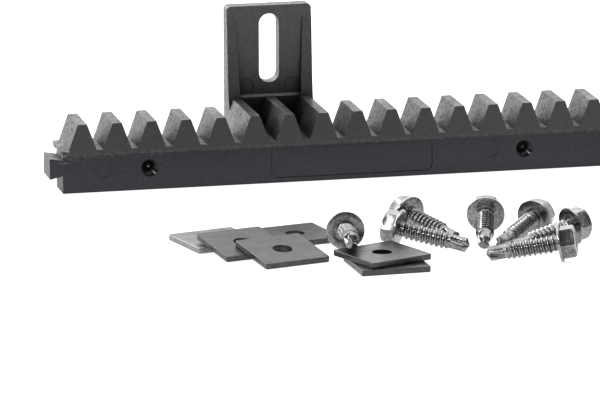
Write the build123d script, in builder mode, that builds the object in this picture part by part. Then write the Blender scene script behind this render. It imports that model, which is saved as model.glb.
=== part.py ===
from build123d import *
import math
import os

# Nylon sliding-gate rack with a steel core, six slotted brackets and its loose
# fixing kit of square plates and self-drilling screws.
# Millimetres.  +X runs along the rack, +Y towards the gate, +Z up to the teeth.
# The origin is the centre of the rail's underside.

# ---- driving dimensions ----
module = 4.0
tooth_count = 80
pressure_angle = 20.0
pitch = math.pi * module

rail_length = tooth_count * pitch
rail_depth = 13.0
rail_height = 24.8
tooth_depth = 9.4
tooth_width = 20.0
top_land = 3.4
flange_thickness = 1.9
first_tooth_inset = 7.3

tongue_length = 4.65
tongue_root_z = (6.4, 12.0)
tongue_tip_z = (5.3, 12.9)
joint_gap = 0.25

core_height = 8.0
core_thickness = 5.0
core_front = 3.5
core_z = 4.2
core_end_inset = 12.0
dimple_radius = 0.6
dimple_bottom_radius = 0.1
dimple_depth = 0.3

pin_hole_radius = 3.1
pin_tip_radius = 0.6
pin_hole_offset = -0.95
pin_hole_z = 7.95
pin_hole_teeth = (3, 14, 36, 45, 67, 78)

bracket_teeth = (7, 23, 31, 50, 58, 74)
bracket_width = 31.4
bracket_top = 58.3
plate_front = 34.4
plate_thickness = 5.5
corner_radius = 1.6
slot_width = 7.4
slot_length = 25.4
slot_centre_z = 42.5
# a gusset's inner face has draft, so it is thicker at its foot
gusset_top_thickness = 3.2
gusset_foot_thickness = 4.8
foot_wall_thickness = 2.5
# front edge of a gusset, from the top: height, distance in front of the plate
gusset_edge = ((54.5, 0.0), (52.8, 0.6), (31.7, 1.9), (24.5, 2.9), (18.3, 5.4))
gusset_foot_reach = 8.1
sill_height = 25.6
sill_depth = 1.0
sill_chamfer = 0.9
ejector_radius = 3.0
ejector_depth = 0.3
ejector_offset = 8.6
ejector_z = 28.6
peg_radius = 2.5
peg_length = 3.5
peg_spacing = 18.0
peg_z = 6.5
peg_gap = 0.05

clamp_side = 24.0
clamp_thickness = 2.0
clamp_corner = 0.8
clamp_hole_radius = 3.4

screw_length = 25.0
thread_radius = 3.15
washer_radius = 6.6
washer_thickness = 1.2
washer_bevel = 0.8
washer_bevel_start = 0.6
hex_across_flats = 10.0
hex_height = 4.6
hex_chamfer = 0.6
drill_radius = 2.45
drill_length = 6.5
drill_cone = 1.4
thread_lead = 1.0

# the loose kit lies in front of the rail, its own axes turned a little
kit_place = (-397.5, -127.0)
kit_turn = -12.6
lay_gap = 0.08
shingle_step = 15.5
# plates: across, away, turn, plates beneath, leaning on a neighbour
kit_plates = (
    (-73.7, 18.4, 27, 0, False),
    (-64.0, 6.0, 27, 0, True),
    (-50.7, -4.6, 27, 0, True),
    (-46.3, 25.1, 25, 0, False),
    (-15.5, -16.0, 15, 0, False),
    (-17.0, -12.0, 34, 1, False),
)
# screws: across and away of the tip, heading from tip to head
kit_screws = (
    (-27.0, -17.0, 95),
    (9.0, 13.0, 130),
    (13.0, 4.0, 162),
    (18.0, 7.0, 87),
    (23.0, 5.0, 59),
    (27.0, 0.0, 34),
    (18.0, -8.0, -6),
)
# the first screw lies across a plate's edge, its tip raised
propped_drop = 4.2

# ---- derived places ----
root_z = rail_height - tooth_depth
flange_z = root_z - flange_thickness
front_y = -rail_depth / 2
back_y = front_y + rail_depth
tooth_back_y = front_y + tooth_width
left_x = -rail_length / 2
right_x = rail_length / 2
tooth_base = top_land + 2 * tooth_depth * math.tan(math.radians(pressure_angle))
bracket_front_y = tooth_back_y
pin_hole_taper = math.degrees(math.atan((pin_hole_radius - pin_tip_radius) / core_front))
dimple_taper = math.degrees(math.atan((dimple_radius - dimple_bottom_radius) / dimple_depth))
plate_y = front_y + plate_front
gusset_draft = math.atan((gusset_foot_thickness - gusset_top_thickness) / (bracket_top - root_z))


def tooth_x(number):
    return left_x + first_tooth_inset + (number - 1) * pitch


pin_hole_places = [(tooth_x(n) + pin_hole_offset, pin_hole_z) for n in pin_hole_teeth]


os.makedirs("parts", exist_ok=True)


def save(piece, name):
    piece.label = name
    export_step(piece, f"parts/{name}.step")


def tooth_outline():
    """Half-width points of a straight-sided rack tooth standing on z = 0."""
    half_top = top_land / 2
    half_base = tooth_base / 2
    return [(-half_base, 0), (half_base, 0), (half_top, tooth_depth), (-half_top, tooth_depth)]


# ---- rail: one moulding, held as a bar, a flange and its teeth that touch ----
with BuildPart() as rail_bar:
    with BuildSketch(Plane.YZ.offset(left_x)) as bar_section:
        with Locations((front_y, 0)):
            Rectangle(rail_depth, flange_z, align=(Align.MIN, Align.MIN))
    extrude(amount=rail_length)
    # dovetail tongue at the left end
    with BuildSketch(Plane.XZ.offset(-front_y)) as tongue_section:
        with BuildLine():
            Polyline(
                (left_x, tongue_root_z[0]),
                (left_x, tongue_root_z[1]),
                (left_x - tongue_length, tongue_tip_z[1]),
                (left_x - tongue_length, tongue_tip_z[0]),
                close=True,
            )
        make_face()
    extrude(amount=-rail_depth)
    # dovetail socket at the right end
    with BuildSketch(Plane.XZ.offset(-front_y)) as socket_section:
        with BuildLine():
            Polyline(
                (right_x, tongue_root_z[0] - joint_gap),
                (right_x, tongue_root_z[1] + joint_gap),
                (right_x - tongue_length - joint_gap, tongue_tip_z[1] + joint_gap),
                (right_x - tongue_length - joint_gap, tongue_tip_z[0] - joint_gap),
                close=True,
            )
        make_face()
    extrude(amount=-rail_depth, mode=Mode.SUBTRACT)
    # closed channel for the steel core
    with BuildSketch(Plane.YZ.offset(left_x + core_end_inset)) as channel_section:
        with Locations((front_y + core_front, core_z)):
            Rectangle(core_thickness, core_height, align=(Align.MIN, Align.MIN))
    extrude(amount=rail_length - 2 * core_end_inset, mode=Mode.SUBTRACT)
    # conical pin holes in the front, open to the core at their tips
    with BuildSketch(Plane.XZ.offset(-front_y)) as pin_holes:
        with Locations(pin_hole_places):
            Circle(pin_hole_radius)
    extrude(amount=-core_front, taper=pin_hole_taper, mode=Mode.SUBTRACT)
    # blind holes in the back for the bracket pegs
    peg_places = [
        (tooth_x(n) + side * peg_spacing / 2, peg_z) for n in bracket_teeth for side in (-1, 1)
    ]
    with BuildSketch(Plane.XZ.offset(-back_y)) as peg_holes:
        with Locations(peg_places):
            Circle(peg_radius)
    extrude(amount=peg_length, mode=Mode.SUBTRACT)

with BuildPart() as rail_flange:
    with BuildSketch(Plane.YZ.offset(left_x)) as flange_section:
        with Locations((front_y, flange_z)):
            Rectangle(tooth_width, flange_thickness, align=(Align.MIN, Align.MIN))
    extrude(amount=rail_length)

with BuildPart() as tooth:
    with BuildSketch(Plane.XZ.offset(-front_y)) as tooth_section:
        with BuildLine():
            Polyline(*tooth_outline(), close=True)
        make_face()
    extrude(amount=-tooth_width)

teeth = [Pos(tooth_x(n), 0, root_z) * tooth.part for n in range(1, tooth_count + 1)]
rack_rail = Compound(children=[rail_bar.part, rail_flange.part, *teeth])
save(rack_rail, "rack_rail")

# ---- steel core inside the rail ----
with BuildPart() as steel_core:
    with BuildSketch(Plane.YZ.offset(left_x + core_end_inset)) as core_section:
        with Locations((front_y + core_front, core_z)):
            Rectangle(core_thickness, core_height, align=(Align.MIN, Align.MIN))
    extrude(amount=rail_length - 2 * core_end_inset)
    # drilled conical dimples behind the pin holes
    with BuildSketch(Plane.XZ.offset(-(front_y + core_front))) as dimple_mouths:
        with Locations(pin_hole_places):
            Circle(dimple_radius)
    extrude(amount=-dimple_depth, taper=dimple_taper, mode=Mode.SUBTRACT)
save(steel_core.part, "steel_core")

# ---- brackets: slotted plate, two gussets, a floor and three tooth-shaped ribs ----
for index, number in enumerate(bracket_teeth, start=1):
    middle = tooth_x(number)
    with BuildPart() as bracket:
        # upright plate with rounded top corners and a long slot
        with BuildSketch(Plane.XZ.offset(-plate_y)) as plate_face:
            with Locations((middle, 0)):
                Rectangle(bracket_width, bracket_top, align=(Align.CENTER, Align.MIN))
            fillet(plate_face.vertices().group_by(Axis.Z)[-1], corner_radius)
            with Locations((middle, slot_centre_z)):
                SlotOverall(slot_length, slot_width, rotation=90, mode=Mode.SUBTRACT)
        extrude(amount=-plate_thickness)
        # side gussets, thin at the top and reaching to the rail at the bottom
        for side in (-1, 1):
            outer_x = middle + side * bracket_width / 2
            with BuildPart():
                with BuildSketch(Plane.YZ.offset(outer_x)):
                    with BuildLine():
                        Polyline(
                            (plate_y, root_z),
                            *[(plate_y - reach, z) for z, reach in gusset_edge],
                            (plate_y - gusset_foot_reach, root_z),
                            close=True,
                        )
                    make_face()
                extrude(amount=-side * gusset_foot_thickness)
                # drafted inner face
                split(
                    bisect_by=Plane(
                        origin=(outer_x - side * gusset_top_thickness, 0, bracket_top),
                        x_dir=(0, 1, 0),
                        z_dir=(side * math.cos(gusset_draft), 0, -math.sin(gusset_draft)),
                    ),
                    keep=Keep.TOP,
                )
        # cheeks beside the floor, down behind the rail
        for side in (-1, 1):
            inner_x = middle + side * (bracket_width / 2 - gusset_top_thickness)
            with BuildSketch(Plane.YZ.offset(inner_x)):
                with BuildLine():
                    Polyline(
                        (plate_y, 0),
                        (plate_y, root_z),
                        (bracket_front_y, root_z),
                        (bracket_front_y, flange_z),
                        (back_y, flange_z),
                        (back_y, 0),
                        close=True,
                    )
                make_face()
            extrude(amount=side * gusset_top_thickness)
        # floor level with the tooth roots
        with BuildSketch(Plane.XY.offset(flange_z)) as floor_face:
            with Locations((middle, bracket_front_y)):
                Rectangle(bracket_width, plate_y - bracket_front_y, align=(Align.CENTER, Align.MIN))
        extrude(amount=flange_thickness)
        # ribs that carry the tooth shape back to the plate
        for offset in (-1, 0, 1):
            with BuildSketch(Plane.XZ.offset(-bracket_front_y)) as rib_face:
                with BuildLine():
                    Polyline(
                        *[(middle + offset * pitch + x, root_z + z) for x, z in tooth_outline()],
                        close=True,
                    )
                make_face()
            extrude(amount=-(plate_y - bracket_front_y))
        # the outer ribs stop flush with the bracket's sides
        split(bisect_by=Plane.YZ.offset(middle - bracket_width / 2), keep=Keep.TOP)
        split(bisect_by=Plane.YZ.offset(middle + bracket_width / 2), keep=Keep.BOTTOM)
        # low sill with a sloping top along the foot of the plate
        with BuildSketch(Plane.YZ.offset(middle - bracket_width / 2)) as sill_section:
            with BuildLine():
                Polyline(
                    (plate_y, flange_z),
                    (plate_y, sill_height),
                    (plate_y - sill_depth + sill_chamfer, sill_height),
                    (plate_y - sill_depth, sill_height - sill_chamfer),
                    (plate_y - sill_depth, flange_z),
                    close=True,
                )
            make_face()
        extrude(amount=bracket_width)
        # shallow round ejector marks low on the plate
        with BuildSketch(Plane.XZ.offset(-plate_y)) as ejector_marks:
            with Locations([(middle + side * ejector_offset, ejector_z) for side in (-1, 1)]):
                Circle(ejector_radius)
        extrude(amount=-ejector_depth, mode=Mode.SUBTRACT)
        # foot wall against the back of the rail, with two pegs into it
        with BuildSketch(Plane.XZ.offset(-back_y)) as foot_face:
            with Locations((middle, 0)):
                Rectangle(bracket_width, flange_z, align=(Align.CENTER, Align.MIN))
        extrude(amount=-foot_wall_thickness)
        with BuildSketch(Plane.XZ.offset(-back_y)) as peg_face:
            with Locations([(middle + side * peg_spacing / 2, peg_z) for side in (-1, 1)]):
                Circle(peg_radius - peg_gap)
        extrude(amount=peg_length - peg_gap)
    save(bracket.part, f"bracket_{index}")


# ---- loose kit: one plate and one screw, then laid out on the ground ----
with BuildPart() as clamp_plate:
    with BuildSketch() as clamp_outline:
        RectangleRounded(clamp_side, clamp_side, clamp_corner)
        Circle(clamp_hole_radius, mode=Mode.SUBTRACT)
    extrude(amount=clamp_thickness)

with BuildPart() as screw:
    # drill point, shank and washer, turned about the screw's own axis
    with BuildSketch(Plane.XZ) as turned_half:
        with BuildLine():
            Polyline(
                (0, 0),
                (drill_radius, drill_cone),
                (drill_radius, drill_length),
                (thread_radius, drill_length + thread_lead),
                (thread_radius, screw_length),
                (washer_radius, screw_length),
                (washer_radius, screw_length + washer_bevel_start * washer_thickness),
                (washer_radius - washer_bevel, screw_length + washer_thickness),
                (0, screw_length + washer_thickness),
                close=True,
            )
        make_face()
    revolve(axis=Axis.Z)
    # hexagon head with its top corners turned off
    with BuildSketch(Plane.XY.offset(screw_length + washer_thickness)) as hex_outline:
        RegularPolygon(hex_across_flats / 2, 6, major_radius=False)
    extrude(amount=hex_height)
    top_edges = screw.faces().sort_by(Axis.Z)[-1].edges()
    chamfer(top_edges, hex_chamfer)


def kit_point(across, away, height):
    """Point given in the kit's own axes on the ground."""
    turn = math.radians(kit_turn)
    x = kit_place[0] + across * math.cos(turn) - away * math.sin(turn)
    y = kit_place[1] + across * math.sin(turn) + away * math.cos(turn)
    return Vector(x, y, height)


def kit_direction(heading, rise):
    """Unit vector at a heading from the kit's X axis, climbing by rise degrees."""
    turn = math.radians(kit_turn + heading)
    climb = math.radians(rise)
    return Vector(
        math.cos(climb) * math.cos(turn),
        math.cos(climb) * math.sin(turn),
        math.sin(climb),
    )


# a leaning plate has its near edge on the ground and lies on its neighbour's near edge
lean = math.degrees(math.asin((clamp_thickness + lay_gap) / shingle_step))

for index, (across, away, turn, beneath, leaning) in enumerate(kit_plates, start=1):
    tilt = lean if leaning else 0
    height = beneath * (clamp_thickness + lay_gap) + clamp_side / 2 * math.sin(math.radians(tilt))
    place = Plane(
        origin=kit_point(across, away, height),
        x_dir=kit_direction(turn, 0),
        z_dir=kit_direction(turn - 90, 90 - tilt),
    )
    save(place.location * clamp_plate.part, f"clamp_plate_{index}")

# a screw on the ground rests on its washer's rim and on its drill point
rest_slope = (washer_radius - drill_radius) / (screw_length - drill_cone)
rest_rise = math.degrees(math.atan(rest_slope))
rest_tip_z = (drill_radius - drill_cone * rest_slope) * math.cos(math.radians(rest_rise))
drop_angle = math.radians(propped_drop)
washer_far_side = screw_length + washer_bevel_start * washer_thickness
propped_tip_z = washer_radius * math.cos(drop_angle) + washer_far_side * math.sin(drop_angle)

for index, (across, away, heading) in enumerate(kit_screws, start=1):
    propped = index == 1
    rise = -propped_drop if propped else rest_rise
    tip_z = propped_tip_z if propped else rest_tip_z
    place = Plane(
        origin=kit_point(across, away, tip_z),
        x_dir=kit_direction(heading + 90, 0),
        z_dir=kit_direction(heading, rise),
    )
    save(place.location * screw.part, f"screw_{index}")
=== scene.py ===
import math

import bmesh
import bpy
import numpy as np
from mathutils import Matrix, Vector


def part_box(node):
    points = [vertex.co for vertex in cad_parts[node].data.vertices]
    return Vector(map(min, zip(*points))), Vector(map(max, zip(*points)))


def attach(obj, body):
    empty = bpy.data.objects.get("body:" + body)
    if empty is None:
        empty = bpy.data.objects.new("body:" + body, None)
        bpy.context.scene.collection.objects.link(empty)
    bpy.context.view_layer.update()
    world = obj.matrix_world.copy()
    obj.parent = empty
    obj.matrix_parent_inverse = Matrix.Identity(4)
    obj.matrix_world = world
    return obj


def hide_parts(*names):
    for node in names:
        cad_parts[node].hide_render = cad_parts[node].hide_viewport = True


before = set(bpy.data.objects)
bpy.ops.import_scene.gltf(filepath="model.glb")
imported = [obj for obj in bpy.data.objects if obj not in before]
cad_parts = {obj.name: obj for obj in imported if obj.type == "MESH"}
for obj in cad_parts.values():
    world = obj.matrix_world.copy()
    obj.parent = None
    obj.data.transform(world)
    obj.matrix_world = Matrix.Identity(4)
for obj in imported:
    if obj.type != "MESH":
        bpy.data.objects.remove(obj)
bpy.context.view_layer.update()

# ---- sizes, in metres ----
MM = 0.001
PITCH = math.pi * 4 * MM
TOOTH_COUNT = 80
TOOTH_DEPTH = 9.4 * MM
TOP_LAND = 3.4 * MM
PRESSURE_ANGLE = math.radians(20)
TOOTH_BASE = TOP_LAND + 2 * TOOTH_DEPTH * math.tan(PRESSURE_ANGLE)
FIRST_TOOTH_INSET = 7.3 * MM
FLANGE = 1.9 * MM
BODY_DEPTH = 13.0 * MM
FRONT_STEP = 0.05 * MM
TONGUE_LENGTH = 4.65 * MM
# the dovetail's lower and upper edge, at its root and at its tip
TONGUE_ROOT = (6.4 * MM, 12.0 * MM)
TONGUE_TIP = (5.3 * MM, 12.9 * MM)
JOINT_GAP = 0.25 * MM
RAIL_BEVEL = 0.16 * MM
PIN_HOLE_RADIUS = 3.1 * MM
PIN_TIP_RADIUS = 0.6 * MM
PIN_HOLE_DEPTH = 3.5 * MM
PIN_WAIST_RADIUS = 1.0 * MM
PIN_WAIST_DEPTH = 1.86 * MM
PIN_HOLE_OFFSET = -0.95 * MM
PIN_HOLE_Z = 7.95 * MM
PIN_RIM = 0.12 * MM
CORE_BITE = 0.8 * MM
PIN_HOLE_TEETH = (3, 14, 36, 45, 67, 78)
EJECTOR_TEETH = (1.59, 12.9, 27.4, 40.5, 53.6, 68.2, 79.4)
EJECTOR_RADIUS = 3.3 * MM
EJECTOR_Z = 8.4 * MM
MARK_WIDTHS = (0.015 * MM, 0.55 * MM)
MARK_DEPTH = 0.22 * MM
INSERT_GROOVE = 0.42 * MM
INSERT_CORNER = 2.4 * MM
INSERT_TEETH = (6.46, 11.2)
INSERT_HEIGHTS = (1.7 * MM, 12.7 * MM)
CUTTER_LEAD = 1.0 * MM
FACE_SLACK = 0.02 * MM
CORE_BEVEL = 0.2 * MM
BRACKET_BEVEL = 0.15 * MM
PLATE_BEVEL = 0.2 * MM

SCREW_LENGTH = 25.0 * MM
THREAD_RADIUS = 3.15 * MM
THREAD_ROOT = 2.45 * MM
THREAD_PITCH = 1.8 * MM
WASHER_RADIUS = 6.6 * MM
WASHER_THICKNESS = 1.2 * MM
HEX_FLATS = 10.0 * MM
HEX_HEIGHT = 4.6 * MM
HEX_FOOT = 1.012
HEX_UNCUT = 9.0 * MM
HEAD_DISH = 0.38 * MM
DRILL_RADIUS = 2.45 * MM
DRILL_LENGTH = 6.5 * MM
DRILL_CONE = 1.4 * MM
FLUTE_TWIST = 240
FLUTE_CUT = 0.42
RIDGE_HALF_TURN = 0.36
RIDGE_CREST = 1.12
THREAD_START_TURNS = 1.2
THREAD_END_GAP = 0.8 * MM
SCREW_SIDES = 48
DRILL_RINGS = 26
RINGS_PER_TURN = 14

FLOOR_HALF = 6.0
FLOOR_DROP = 0.05 * MM
CAMERA_PLACE = (-0.82835, -1.8485, 0.4260)
CAMERA_TURN = -12.61
CAMERA_DOWN = 13.02
CAMERA_ROLL = -0.18
CAMERA_LENS = 323.1

TOLERANCE = 1e-6
SHARP_ANGLE = math.radians(25)

rail_low, rail_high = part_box("rack_rail")
rail_left = rail_low.x + TONGUE_LENGTH
rail_right = rail_high.x
root_z = rail_high.z - TOOTH_DEPTH
ledge_z = root_z - FLANGE


def tooth_x(number):
    return rail_left + FIRST_TOOTH_INSET + (number - 1) * PITCH


# ---- material helpers ----
class Nodes:
    """A material's node tree with short calls for the nodes used here."""

    def __init__(self, name):
        self.material = bpy.data.materials.new(name)
        self.material.use_nodes = True
        self.tree = self.material.node_tree
        self.shader = self.tree.nodes["Principled BSDF"]
        places = self.tree.nodes.new("ShaderNodeTexCoord")
        self.coords = places.outputs["Object"]
        self.facing = places.outputs["Normal"]

    def link(self, source, target):
        self.tree.links.new(source, target)

    def stretch(self, scale):
        node = self.tree.nodes.new("ShaderNodeMapping")
        node.inputs["Scale"].default_value = scale
        self.link(self.coords, node.inputs["Vector"])
        return node.outputs["Vector"]

    def noise(self, scale, detail=3.0, roughness=0.55, coords=None):
        node = self.tree.nodes.new("ShaderNodeTexNoise")
        node.inputs["Scale"].default_value = scale
        node.inputs["Detail"].default_value = detail
        node.inputs["Roughness"].default_value = roughness
        self.link(coords or self.coords, node.inputs["Vector"])
        return node.outputs["Fac"]

    def cells(self, scale):
        node = self.tree.nodes.new("ShaderNodeTexVoronoi")
        node.inputs["Scale"].default_value = scale
        self.link(self.coords, node.inputs["Vector"])
        return node.outputs["Color"]

    def remap(self, value, low, high, to_low, to_high):
        node = self.tree.nodes.new("ShaderNodeMapRange")
        node.inputs["From Min"].default_value = low
        node.inputs["From Max"].default_value = high
        node.inputs["To Min"].default_value = to_low
        node.inputs["To Max"].default_value = to_high
        self.link(value, node.inputs["Value"])
        return node.outputs["Result"]

    def math(self, operation, a, b):
        node = self.tree.nodes.new("ShaderNodeMath")
        node.operation = operation
        for socket, value in zip(node.inputs, (a, b)):
            if isinstance(value, (int, float)):
                socket.default_value = value
            else:
                self.link(value, socket)
        return node.outputs["Value"]

    def ramp(self, value, stops):
        node = self.tree.nodes.new("ShaderNodeValToRGB")
        while len(node.color_ramp.elements) < len(stops):
            node.color_ramp.elements.new(0.5)
        for element, (place, colour) in zip(node.color_ramp.elements, stops):
            element.position = place
            element.color = (*colour, 1)
        self.link(value, node.inputs["Fac"])
        return node.outputs["Color"]

    def mix(self, factor, a, b):
        node = self.tree.nodes.new("ShaderNodeMix")
        node.data_type = "RGBA"
        self.link(factor, node.inputs["Factor"])
        for socket, value in ((node.inputs["A"], a), (node.inputs["B"], b)):
            if isinstance(value, tuple):
                socket.default_value = (*value, 1)
            else:
                self.link(value, socket)
        return node.outputs["Result"]

    def axis(self, vector, name):
        node = self.tree.nodes.new("ShaderNodeSeparateXYZ")
        self.link(vector, node.inputs["Vector"])
        return node.outputs[name]

    def edges(self, low, high):
        geometry = self.tree.nodes.new("ShaderNodeNewGeometry")
        return self.remap(geometry.outputs["Pointiness"], low, high, 0.0, 1.0)

    def open_sky(self, reach):
        node = self.tree.nodes.new("ShaderNodeAmbientOcclusion")
        node.inputs["Distance"].default_value = reach
        return node.outputs["AO"]

    def bump(self, height, distance, strength, below=None):
        node = self.tree.nodes.new("ShaderNodeBump")
        node.inputs["Distance"].default_value = distance
        if isinstance(strength, (int, float)):
            node.inputs["Strength"].default_value = strength
        else:
            self.link(strength, node.inputs["Strength"])
        self.link(height, node.inputs["Height"])
        if below is not None:
            self.link(below, node.inputs["Normal"])
        return node.outputs["Normal"]

    def plug(self, **sockets):
        for name, value in sockets.items():
            socket = self.shader.inputs[name.replace("_", " ")]
            if isinstance(value, (int, float)):
                socket.default_value = value
            else:
                self.link(value, socket)


def black_nylon(name, dark, light, gloss, flank_gloss, edge_wear_and_highlight=0.0, body_tint=None,
                painted_corner_shade=0.0):
    """Moulded glass-filled nylon: polished front, spark-eroded flanks and tops.

    Flank gloss is a factor for the faces that look along the rack.
    A body tint, a pair of colours and a gloss, is for the part below the ledge, whose colour is
    also painted lighter towards the bottom as painted bounce light from the floor.
    Edge wear and highlight is how much the outer edges turn grey, partly real wear and partly a
    painted highlight along the edges.
    Painted corner shade dulls and darkens the places deep between walls, by ambient occlusion:
    painted shade.
    """
    n = Nodes(name)
    mottle = n.noise(90, 4.0)
    flow = n.noise(60, 3.0, coords=n.stretch((0.12, 1, 1)))
    grain = n.noise(1300, 1.5, 0.6)
    coarse = n.noise(620, 2.0, 0.6)
    front = n.math("ABSOLUTE", n.axis(n.facing, "Y"), 0.0)
    eroded = n.remap(front, 0.35, 0.75, 1.0, 0.15)
    tone = n.math("ADD", n.math("MULTIPLY", mottle, 0.5), n.math("MULTIPLY", flow, 0.5))
    base = n.ramp(tone, ((0.35, dark), (0.65, light)))
    shine = n.remap(mottle, 0.3, 0.7, 0.9 * gloss, 1.1 * gloss)
    if body_tint:
        body_dark, body_light, body_gloss = body_tint
        along = n.axis(n.coords, "X")
        height = n.axis(n.coords, "Z")
        above = n.remap(height, ledge_z - 0.1 * MM, ledge_z + 0.1 * MM, 0.0, 1.0)
        # lighter towards the bottom of the body: painted bounce light from the bright floor
        lower = n.remap(height, 0.0, ledge_z, 0.18, -0.12)
        body = n.ramp(n.math("ADD", tone, lower), ((0.25, body_dark), (0.75, body_light)))
        base = n.mix(above, body, base)
        shine = n.remap(above, 0.0, 1.0, body_gloss, gloss)
        scuffs = n.noise(420, 4.0, 0.7, n.stretch((0.35, 1, 1)))
        near_end = n.remap(along, rail_left + 3.5 * MM, rail_left + 0.5 * MM, 0.0, 1.0)
        near_top = n.remap(height, ledge_z - 3.0 * MM, ledge_z - 1.0 * MM, 0.0, 1.0)
        scuffed = n.remap(scuffs, 0.54, 0.62, 0.0, 0.9)
        scuffed = n.math("MULTIPLY", scuffed, n.math("MULTIPLY", near_end, near_top))
        base = n.mix(scuffed, base, (0.38, 0.38, 0.37))
    if painted_corner_shade:
        # ambient occlusion darkens and dulls the deep places between walls: painted shade
        unshaded = n.remap(n.open_sky(18 * MM), 0.30, 0.80, 1.0 - painted_corner_shade, 1.0)
        shine = n.math("MULTIPLY", shine, unshaded)
        base = n.mix(unshaded, (0.002, 0.002, 0.002), base)
    speckle = n.math("ADD", n.math("MULTIPLY", grain, 0.6), n.math("MULTIPLY", coarse, 0.4))
    swing = n.math("MULTIPLY", n.remap(speckle, 0.40, 0.60, -0.92, 0.92), eroded)
    flank = n.remap(n.math("ABSOLUTE", n.axis(n.facing, "X"), 0.0), 0.4, 0.8, 1.0, flank_gloss)
    level = n.math("MULTIPLY", flank, n.math("ADD", swing, 1.0))
    n.plug(Specular_IOR_Level=n.math("MULTIPLY", shine, level))
    # outer edges lightened to grey: partly wear, partly a painted highlight along the edges
    if edge_wear_and_highlight:
        patchy = n.remap(coarse, 0.40, 0.70, 0.0, edge_wear_and_highlight)
        wear_and_highlight_mask = n.math("MULTIPLY", n.edges(0.56, 0.66), patchy)
        base = n.mix(wear_and_highlight_mask, base, (0.090, 0.090, 0.092))
    rough = n.remap(n.math("ADD", mottle, grain), 0.7, 1.3, 0.30, 0.52)
    normal = n.bump(coarse, 0.20 * MM, n.math("MULTIPLY", eroded, 0.7))
    normal = n.bump(grain, 0.13 * MM, eroded, normal)
    n.plug(Base_Color=base, Roughness=rough, Normal=normal)
    return n.material


def shaded_hole_nylon(name):
    """Glossy walls left by the polished locating pins, coloured near-black as painted shade deep
    in the holes, with faint turned lines.
    """
    n = Nodes(name)
    smear = n.noise(300, 3.0)
    base = n.ramp(smear, ((0.3, (0.0020, 0.0020, 0.0025)), (0.7, (0.0040, 0.0040, 0.0045))))
    n.plug(Base_Color=base, Roughness=n.remap(smear, 0.3, 0.7, 0.14, 0.22))
    n.plug(Specular_IOR_Level=0.25, Normal=n.bump(n.noise(900, 2.0), 0.02 * MM, 0.3))
    return n.material


def zinc(name, dark, light, rough_low, rough_high, spangle):
    """Zinc-plated steel: cloudy passivation, fine scratches, edges lightened partly by wear and
    partly as a painted highlight, and hollows darkened as painted shade.
    """
    n = Nodes(name)
    cloud = n.noise(260, 4.0)
    fine = n.noise(2600, 2.0)
    scratch = n.noise(700, 3.0, coords=n.stretch((0.08, 1, 1)))
    crystal = n.cells(spangle)
    tone = n.math("ADD", n.math("MULTIPLY", cloud, 0.6), n.math("MULTIPLY", crystal, 0.4))
    base = n.ramp(tone, ((0.3, dark), (0.7, light)))
    # sharp edges lighter: partly wear, partly a painted highlight
    wear_and_highlight = n.mix(n.edges(0.52, 0.60), base, tuple(1.5 * c for c in light))
    # hollows such as thread roots darker: painted shade
    shaded_hollows = n.mix(n.edges(0.47, 0.38), wear_and_highlight, tuple(0.25 * c for c in dark))
    rough = n.remap(n.math("ADD", cloud, scratch), 0.7, 1.3, rough_low, rough_high)
    normal = n.bump(scratch, 0.03 * MM, 0.35)
    normal = n.bump(fine, 0.01 * MM, 0.5, normal)
    n.plug(Base_Color=shaded_hollows, Roughness=rough, Normal=normal, Metallic=1.0)
    return n.material


def drawn_steel(name):
    """Drawn bar: long fine lines along the rack."""
    n = Nodes(name)
    lines = n.noise(900, 3.0, coords=n.stretch((0.03, 1, 1)))
    base = n.ramp(lines, ((0.3, (0.20, 0.20, 0.20)), (0.7, (0.36, 0.36, 0.36))))
    n.plug(Base_Color=base, Roughness=n.remap(lines, 0.3, 0.7, 0.12, 0.20))
    n.plug(Normal=n.bump(lines, 0.03 * MM, 0.4), Metallic=1.0)
    return n.material


def floor_paint(name):
    """Evenly glowing white light table with a barely visible grain."""
    n = Nodes(name)
    base = n.ramp(n.noise(40, 3.0), ((0.3, (0.38, 0.38, 0.38)), (0.7, (0.42, 0.42, 0.42))))
    n.plug(Base_Color=base, Roughness=n.remap(n.noise(300), 0.3, 0.7, 0.75, 0.85))
    n.plug(Specular_IOR_Level=0.2, Emission_Strength=0.80)
    n.shader.inputs["Emission Color"].default_value = (1, 1, 1, 1)
    return n.material


# ---- mesh helpers ----
def new_object(name, mesh, material):
    piece = bpy.data.objects.new(name, mesh)
    bpy.context.scene.collection.objects.link(piece)
    mesh.materials.clear()
    mesh.materials.append(material)
    return piece


def apply_modifiers(piece):
    """Replace the piece's mesh with the result of its modifiers."""
    graph = bpy.context.evaluated_depsgraph_get()
    result = bpy.data.meshes.new_from_object(piece.evaluated_get(graph))
    piece.modifiers.clear()
    piece.data = result


def shade(mesh, angle_degrees):
    """Smooth shading, with edges sharper than the angle kept crisp."""
    limit = math.radians(angle_degrees)
    work = bmesh.new()
    work.from_mesh(mesh)
    for face in work.faces:
        face.smooth = True
    for edge in work.edges:
        edge.smooth = len(edge.link_faces) == 2 and edge.calc_face_angle(0) < limit
    work.to_mesh(mesh)
    work.free()


def flat_faces(piece):
    """Shade large faces flat and let the narrow rounded edges carry the turn."""
    modifier = piece.modifiers.new("face_weight", "WEIGHTED_NORMAL")
    modifier.mode = "FACE_AREA"
    modifier.weight = 100
    modifier.keep_sharp = True


def soften(piece, width):
    modifier = piece.modifiers.new("edge_radius", "BEVEL")
    modifier.width = width
    modifier.segments = 2
    modifier.limit_method = "ANGLE"
    modifier.angle_limit = SHARP_ANGLE
    modifier.harden_normals = True
    modifier.miter_outer = "MITER_ARC"


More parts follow.
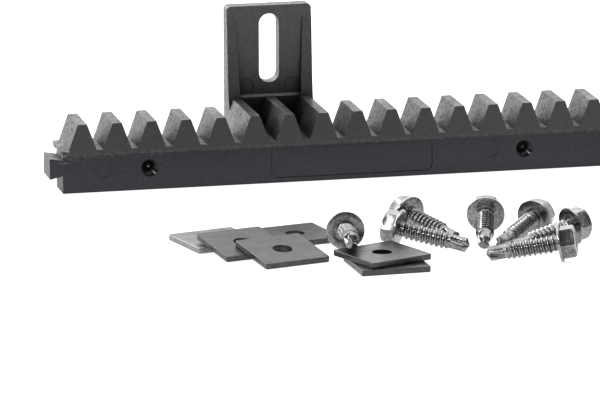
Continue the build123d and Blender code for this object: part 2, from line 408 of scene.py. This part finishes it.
# ---- the rail ----
def tooth_line():
    """Side outline above the ledge, from the left end to the right, as (x, z)."""
    points = [(rail_left, ledge_z), (rail_left, root_z)]
    for number in range(1, TOOTH_COUNT + 1):
        x = tooth_x(number)
        points.append((x - TOOTH_BASE / 2, root_z))
        points.append((x - TOP_LAND / 2, rail_high.z))
        points.append((x + TOP_LAND / 2, rail_high.z))
        if number < TOOTH_COUNT:
            points.append((x + TOOTH_BASE / 2, root_z))
    points += [(rail_right, root_z), (rail_right, ledge_z)]
    return points


def body_line():
    """Side outline below the ledge, from the left end round the bottom to the right."""
    tip = rail_left - TONGUE_LENGTH
    deep = rail_right - TONGUE_LENGTH - JOINT_GAP
    return [
        (rail_left, ledge_z),
        (rail_left, TONGUE_ROOT[1]),
        (tip, TONGUE_TIP[1]),
        (tip, TONGUE_TIP[0]),
        (rail_left, TONGUE_ROOT[0]),
        (rail_left, 0.0),
        (rail_right, 0.0),
        (rail_right, TONGUE_ROOT[0] - JOINT_GAP),
        (deep, TONGUE_TIP[0] - JOINT_GAP),
        (deep, TONGUE_TIP[1] + JOINT_GAP),
        (rail_right, TONGUE_ROOT[1] + JOINT_GAP),
        (rail_right, ledge_z),
    ]


def rail_mesh():
    front = rail_low.y
    body_front = front + FRONT_STEP
    body_back = front + BODY_DEPTH
    back = rail_high.y
    work = bmesh.new()
    found = {}

    def vertex(x, y, z):
        key = (round(x, 7), round(y, 7), round(z, 7))
        if key not in found:
            found[key] = work.verts.new((x, y, z))
        return found[key]

    def face(points):
        work.faces.new([vertex(*p) for p in points])

    def walls(outline, near, far):
        for (x0, z0), (x1, z1) in zip(outline, outline[1:]):
            face([(x0, near, z0), (x0, far, z0), (x1, far, z1), (x1, near, z1)])

    teeth = tooth_line()
    body = body_line()
    walls(teeth[1:-1], front, back)
    walls(body, body_front, body_back)
    for x in (rail_left, rail_right):
        face([(x, y, ledge_z) for y in (front, body_front, body_back, back)]
             + [(x, back, root_z), (x, front, root_z)])
    for y in (front, back):
        face([(x, y, z) for x, z in teeth])
    for y in (body_front, body_back):
        face([(x, y, z) for x, z in body])
    for near, far in ((front, body_front), (body_back, back)):
        face([(rail_left, near, ledge_z), (rail_left, far, ledge_z),
              (rail_right, far, ledge_z), (rail_right, near, ledge_z)])
    bmesh.ops.recalc_face_normals(work, faces=work.faces)
    # every sharp edge is rounded except the fine step under the ledge
    weight = work.edges.layers.float.new("bevel_weight_edge")
    for edge in work.edges:
        on_ledge = all(abs(v.co.z - ledge_z) < TOLERANCE for v in edge.verts)
        in_front = all(v.co.y < front + 1 * MM for v in edge.verts)
        low_step = on_ledge and in_front
        if not low_step and edge.calc_face_angle(0) > SHARP_ANGLE:
            edge[weight] = 1.0
    mesh = bpy.data.meshes.new("rail_moulding")
    work.to_mesh(mesh)
    work.free()
    return mesh


def disc_cutter(work, x, z, y_face, profile, sides=40):
    """Add a closed turned cutter: profile is (radius, depth behind the face) pairs."""
    rings = []
    for radius, depth in profile:
        ring = []
        for step in range(sides):
            angle = 2 * math.pi * step / sides
            spot = (x + radius * math.cos(angle), y_face + depth, z + radius * math.sin(angle))
            ring.append(work.verts.new(spot))
        rings.append(ring)
    for low, high in zip(rings, rings[1:]):
        for step in range(sides):
            other = (step + 1) % sides
            work.faces.new([low[step], low[other], high[other], high[step]])
    work.faces.new(rings[0])
    work.faces.new(rings[-1])


def round_loop(x, z, radius, sides=48):
    turns = [2 * math.pi * step / sides for step in range(sides)]
    return [(x + radius * math.cos(t), z + radius * math.sin(t)) for t in turns]


def rounded_box_loop(low, high, radius, sides=8):
    """Outline of a rectangle with rounded corners, anticlockwise, as (x, z)."""
    loop = []
    corners = (high, (low[0], high[1]), low, (high[0], low[1]))
    for quarter, (x, z) in enumerate(corners):
        centre_x = x - math.copysign(radius, x - (low[0] + high[0]) / 2)
        centre_z = z - math.copysign(radius, z - (low[1] + high[1]) / 2)
        for step in range(sides + 1):
            angle = (quarter + step / sides) * math.pi / 2
            spot = (centre_x + radius * math.cos(angle), centre_z + radius * math.sin(angle))
            loop.append(spot)
    return loop


def groove_cutter(work, outer, inner, y_face, depth):
    """Add a closed ring cutter between two loops of the same length."""
    rings = []
    outside = -0.5 * CUTTER_LEAD
    for loop, y in ((outer, outside), (outer, depth), (inner, depth), (inner, outside)):
        rings.append([work.verts.new((x, y_face + y, z)) for x, z in loop])
    count = len(outer)
    for near, far in zip(rings, rings[1:] + rings[:1]):
        for step in range(count):
            other = (step + 1) % count
            work.faces.new([near[step], near[other], far[other], far[step]])


def rail_cutters():
    """Pin holes, round ejector marks and the shallow outline of a mould insert."""
    face_y = rail_low.y + FRONT_STEP
    outside = -CUTTER_LEAD
    work = bmesh.new()
    tip_depth = PIN_HOLE_DEPTH - FRONT_STEP
    # the last ring ends inside the steel core, which closes the hole
    hole = ((PIN_HOLE_RADIUS + PIN_RIM, outside), (PIN_HOLE_RADIUS + PIN_RIM, 0.0),
            (PIN_HOLE_RADIUS - PIN_RIM, PIN_RIM), (PIN_WAIST_RADIUS, PIN_WAIST_DEPTH),
            (PIN_TIP_RADIUS, tip_depth), (PIN_TIP_RADIUS, tip_depth + CORE_BITE))
    for number in PIN_HOLE_TEETH:
        disc_cutter(work, tooth_x(number) + PIN_HOLE_OFFSET, PIN_HOLE_Z, face_y, hole)
    # a mark is a crescent, widest at its lower right
    mean_width = sum(MARK_WIDTHS) / 2
    lean = (MARK_WIDTHS[1] - MARK_WIDTHS[0]) / 2 * math.sin(math.pi / 4)
    for number in EJECTOR_TEETH:
        outer = round_loop(tooth_x(number), EJECTOR_Z, EJECTOR_RADIUS)
        inner = round_loop(tooth_x(number) - lean, EJECTOR_Z + lean, EJECTOR_RADIUS - mean_width)
        groove_cutter(work, outer, inner, face_y, MARK_DEPTH)
    low = (tooth_x(INSERT_TEETH[0]), INSERT_HEIGHTS[0])
    high = (tooth_x(INSERT_TEETH[1]), INSERT_HEIGHTS[1])
    width = INSERT_GROOVE
    outer = rounded_box_loop(low, high, INSERT_CORNER)
    inner = rounded_box_loop((low[0] + 0.5 * width, low[1] + width),
                             (high[0] - width, high[1] - 0.2 * width), INSERT_CORNER - width)
    groove_cutter(work, outer, inner, face_y, width)
    bmesh.ops.recalc_face_normals(work, faces=work.faces)
    mesh = bpy.data.meshes.new("rail_cutters")
    work.to_mesh(mesh)
    work.free()
    return mesh


def in_pin_hole(spot):
    """Whether a point of the rail's skin is on the wall or the floor of a pin hole."""
    if spot.y < rail_low.y + FRONT_STEP + FACE_SLACK:
        return False
    for number in PIN_HOLE_TEETH:
        across = spot.x - tooth_x(number) - PIN_HOLE_OFFSET
        if math.hypot(across, spot.z - PIN_HOLE_Z) < PIN_HOLE_RADIUS + PIN_RIM:
            return spot.y < rail_low.y + PIN_HOLE_DEPTH + 2 * CORE_BITE
    return False


def make_rail(material, hole_shade_material):
    rail = new_object("rail_moulding", rail_mesh(), material)
    cutters = new_object("rail_cutters", rail_cutters(), material)
    soften(rail, RAIL_BEVEL)
    rail.modifiers["edge_radius"].limit_method = "WEIGHT"
    cut = rail.modifiers.new("cut", "BOOLEAN")
    cut.operation = "DIFFERENCE"
    cut.solver = "EXACT"
    cut.object = cutters
    apply_modifiers(rail)
    bpy.data.objects.remove(cutters)
    rail.data.materials.clear()
    rail.data.materials.append(material)
    rail.data.materials.append(hole_shade_material)
    # the pin hole walls take the near-black hole nylon: painted shade
    for polygon in rail.data.polygons:
        polygon.material_index = int(in_pin_hole(polygon.center))
    shade(rail.data, 50)
    flat_faces(rail)
    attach(rail, "rack")
    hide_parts("rack_rail")


# ---- the screws ----
def screw_radius(length, angle):
    """Radius of the screw's skin below its head at a length from the tip."""
    if length < DRILL_LENGTH:
        grow = min(1.0, length / DRILL_CONE)
        flute = max(0.0, math.cos(2 * angle - FLUTE_TWIST * length)) ** 3
        return DRILL_RADIUS * grow * (1 - FLUTE_CUT * flute)
    turn = (length / THREAD_PITCH - angle / (2 * math.pi)) % 1.0
    ridge = max(0.0, 1 - abs(turn - 0.5) / RIDGE_HALF_TURN)
    ridge = min(1.0, RIDGE_CREST * ridge)
    start = min(1.0, (length - DRILL_LENGTH) / (THREAD_START_TURNS * THREAD_PITCH))
    end = min(1.0, (SCREW_LENGTH - THREAD_END_GAP - length) / THREAD_PITCH)
    fade = max(0.0, min(start, end))
    return THREAD_ROOT + (THREAD_RADIUS - THREAD_ROOT) * ridge * fade


def hex_radius(angle):
    sector = math.pi / 3
    return HEX_FLATS / 2 / math.cos((angle % sector) - sector / 2)


def screw_rings():
    """Rings of (length, radius) from the tip to the middle of the head."""
    angles = [2 * math.pi * step / SCREW_SIDES for step in range(SCREW_SIDES)]
    rings = []
    drill = np.linspace(0.12 * MM, DRILL_LENGTH - 0.05 * MM, DRILL_RINGS)
    thread = np.arange(DRILL_LENGTH, SCREW_LENGTH - 0.25 * MM, THREAD_PITCH / RINGS_PER_TURN)
    for length in (*drill, *thread):
        rings.append([(length, screw_radius(length, a)) for a in angles])
    seat = SCREW_LENGTH
    top = seat + WASHER_THICKNESS
    washer = (
        (seat - 0.2 * MM, THREAD_ROOT + 0.05 * MM),
        (seat + 0.12 * MM, THREAD_RADIUS),
        (seat + 0.14 * MM, 0.6 * WASHER_RADIUS),
        (seat + 0.02 * MM, 0.94 * WASHER_RADIUS),
        (seat + 0.10 * MM, 0.985 * WASHER_RADIUS),
        (seat + 0.36 * MM, WASHER_RADIUS),
        (seat + 0.68 * MM, WASHER_RADIUS),
        (seat + 0.92 * MM, 0.975 * WASHER_RADIUS),
        (top - 0.10 * MM, 0.92 * WASHER_RADIUS),
    )
    for length, radius in washer:
        rings.append([(length, radius) for a in angles])
    crown = top + HEX_HEIGHT
    # the hexagon's radius, cut to a limit that rounds its corners and dishes its top
    for length, limit in (
        (top, HEX_UNCUT),
        (top + 0.12 * MM, HEX_UNCUT),
        (crown - 0.75 * MM, HEX_UNCUT),
        (crown - 0.45 * MM, 5.55 * MM),
        (crown - 0.12 * MM, 5.15 * MM),
        (crown, 4.75 * MM),
        (crown, 3.9 * MM),
        (crown - 0.30 * MM, 3.5 * MM),
        (crown - HEAD_DISH, 1.8 * MM),
    ):
        flare = HEX_FOOT if length == top else 1.0
        rings.append([(length, min(limit, flare * hex_radius(a))) for a in angles])
    return rings, crown


def screw_mesh():
    rings, crown = screw_rings()
    work = bmesh.new()
    loops = []
    for ring in rings:
        loop = []
        for step, (length, radius) in enumerate(ring):
            angle = 2 * math.pi * step / SCREW_SIDES
            spot = (radius * math.cos(angle), radius * math.sin(angle), length)
            loop.append(work.verts.new(spot))
        loops.append(loop)
    for low, high in zip(loops, loops[1:]):
        for step in range(SCREW_SIDES):
            other = (step + 1) % SCREW_SIDES
            work.faces.new([low[step], low[other], high[other], high[step]])
    tip = work.verts.new((0, 0, 0))
    centre = work.verts.new((0, 0, crown - HEAD_DISH))
    for step in range(SCREW_SIDES):
        other = (step + 1) % SCREW_SIDES
        work.faces.new([tip, loops[0][other], loops[0][step]])
        work.faces.new([centre, loops[-1][step], loops[-1][other]])
    bmesh.ops.recalc_face_normals(work, faces=work.faces)
    mesh = bpy.data.meshes.new("self_drilling_screw")
    work.to_mesh(mesh)
    work.free()
    shade(mesh, 32)
    return mesh


def lying_axis(node):
    """Drill point and unit axis, point to head, of a CAD screw, from its mesh."""
    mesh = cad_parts[node].data
    facing = {}
    for polygon in mesh.polygons:
        key = tuple(round(abs(c), 2) for c in polygon.normal)
        facing.setdefault(key, []).append(polygon)
    # the flat of the head or the washer is the largest face, square to the axis
    largest = max(facing.values(), key=lambda group: sum(p.area for p in group))
    axis = largest[0].normal.normalized()
    along = [v.co.dot(axis) for v in mesh.vertices]
    # the head's end has more points than the drill point
    end = 0.1 * MM
    near_high = sum(a > max(along) - end for a in along)
    near_low = sum(a < min(along) + end for a in along)
    if near_high < near_low:
        axis = -axis
    tip = min((v.co for v in mesh.vertices), key=axis.dot)
    return tip.copy(), axis


def make_screws(material):
    upright = screw_mesh()
    for number in range(1, 8):
        node = f"screw_{number}"
        tip, axis = lying_axis(node)
        side = Vector((0, 0, 1)).cross(axis).normalized()
        basis = Matrix((side, axis.cross(side), axis)).transposed().to_4x4()
        mesh = upright.copy()
        mesh.transform(Matrix.Translation(tip) @ basis)
        piece = new_object(f"drilling_screw_{number}", mesh, material)
        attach(piece, f"loose_{node}")
        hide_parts(node)


# ---- CAD nodes that stay, with rounded edges and their own materials ----
def finish_node(name, material, radius):
    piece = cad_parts[name]
    piece.data.materials.clear()
    piece.data.materials.append(material)
    weld = piece.modifiers.new("weld", "WELD")
    weld.merge_threshold = TOLERANCE
    planar = piece.modifiers.new("planar", "DECIMATE")
    planar.decimate_type = "DISSOLVE"
    planar.angle_limit = math.radians(0.5)
    soften(piece, radius)
    piece.modifiers["edge_radius"].harden_normals = False
    for polygon in piece.data.polygons:
        polygon.use_smooth = True
    flat_faces(piece)
    piece.modifiers["face_weight"].keep_sharp = False


# ---- stage ----
def make_floor():
    work = bmesh.new()
    bmesh.ops.create_grid(work, x_segments=8, y_segments=8, size=FLOOR_HALF)
    mesh = bpy.data.meshes.new("studio_floor")
    work.to_mesh(mesh)
    work.free()
    floor = new_object("studio_floor", mesh, floor_paint("studio_floor"))
    floor.location.z = -FLOOR_DROP


def world_range(tree, source, low, high, to_low, to_high, interpolation="LINEAR"):
    node = tree.nodes.new("ShaderNodeMapRange")
    node.interpolation_type = interpolation
    node.inputs["From Min"].default_value = low
    node.inputs["From Max"].default_value = high
    node.inputs["To Min"].default_value = to_low
    node.inputs["To Max"].default_value = to_high
    tree.links.new(source, node.inputs["Value"])
    return node.outputs["Result"]


def make_world():
    """Soft white surround, brighter behind and to the left, dimmer in front."""
    world = bpy.data.worlds.new("studio")
    bpy.context.scene.world = world
    world.use_nodes = True
    tree = world.node_tree
    background = tree.nodes["Background"]
    background.inputs["Color"].default_value = (1, 1, 1, 1)
    coords = tree.nodes.new("ShaderNodeTexCoord")
    split = tree.nodes.new("ShaderNodeSeparateXYZ")
    tree.links.new(coords.outputs["Generated"], split.inputs["Vector"])
    behind = world_range(tree, split.outputs["Y"], -0.55, 0.45, 0.22, 2.1, "SMOOTHSTEP")
    left = world_range(tree, split.outputs["X"], -1.0, 1.0, 1.25, 0.80)
    product = tree.nodes.new("ShaderNodeMath")
    product.operation = "MULTIPLY"
    tree.links.new(behind, product.inputs[0])
    tree.links.new(left, product.inputs[1])
    tree.links.new(product.outputs["Value"], background.inputs["Strength"])


def area_light(name, place, target, size, power):
    data = bpy.data.lights.new(name, "AREA")
    data.shape = "RECTANGLE"
    data.size, data.size_y = size
    data.energy = power
    light = bpy.data.objects.new(name, data)
    light.location = place
    aim = Vector(target) - Vector(place)
    light.rotation_euler = aim.to_track_quat("-Z", "Y").to_euler()
    bpy.context.scene.collection.objects.link(light)


def make_camera():
    data = bpy.data.cameras.new("camera")
    data.sensor_width = 36.0
    data.lens = CAMERA_LENS
    camera = bpy.data.objects.new("camera", data)
    turn = Matrix.Rotation(math.radians(CAMERA_TURN), 4, "Z")
    look_down = Matrix.Rotation(math.radians(90 - CAMERA_DOWN), 4, "X")
    roll = Matrix.Rotation(math.radians(CAMERA_ROLL), 4, "Z")
    place = Matrix.Translation(CAMERA_PLACE)
    camera.matrix_world = place @ turn @ look_down @ roll
    bpy.context.scene.collection.objects.link(camera)
    bpy.context.scene.camera = camera


# ---- build ----
make_camera()
make_world()
make_floor()
area_light("key_back_left", (-1.6, 1.9, 1.1), (-0.4, 0.7, 0.0), (2.0, 1.2), 35)
first_hole = (-0.43, 0.0, 0.01)
area_light("glint_front_left", (-1.50, -1.62, 1.05), first_hole, (0.16, 0.16), 7)
area_light("glint_left", (-1.83, -1.00, 1.42), first_hole, (0.5, 0.35), 11)
area_light("top_soft", (0.0, 0.2, 2.4), (0.0, 0.0, 0.0), (3.0, 2.0), 30)
bpy.context.scene.view_settings.view_transform = "Standard"

rail_nylon = black_nylon(
    "rail_nylon", (0.0168, 0.0158, 0.0160), (0.0230, 0.0218, 0.0222), 0.43, 0.66,
    edge_wear_and_highlight=0.5,
    body_tint=((0.0060, 0.0036, 0.0080), (0.0208, 0.0176, 0.0242), 0.35),
)
# the brackets take a darker copy of the rail's nylon: painted shade on the same moulding
bracket_nylon = black_nylon(
    "bracket_nylon", (0.0098, 0.0096, 0.0096), (0.0150, 0.0147, 0.0146), 0.76, 0.92,
    painted_corner_shade=0.85,
)
make_rail(rail_nylon, shaded_hole_nylon("hole_nylon_painted_shade"))
finish_node("steel_core", drawn_steel("core_steel"), CORE_BEVEL)
for number in range(1, 7):
    finish_node(f"bracket_{number}", bracket_nylon, BRACKET_BEVEL)
plate_zinc = zinc("plate_zinc", (0.028, 0.028, 0.029), (0.070, 0.070, 0.072), 0.30, 0.48, 900)
# a lighter copy of the plate zinc for the first plate: painted reflection of the light it
# catches
lit_plate_zinc = zinc("lit_plate_zinc", (0.10, 0.10, 0.10), (0.20, 0.20, 0.20), 0.36, 0.52, 900)
finish_node("clamp_plate_1", lit_plate_zinc, PLATE_BEVEL)
for number in range(2, 7):
    finish_node(f"clamp_plate_{number}", plate_zinc, PLATE_BEVEL)
screw_zinc = zinc("screw_zinc", (0.09, 0.09, 0.093), (0.26, 0.26, 0.265), 0.14, 0.28, 1500)
make_screws(screw_zinc)
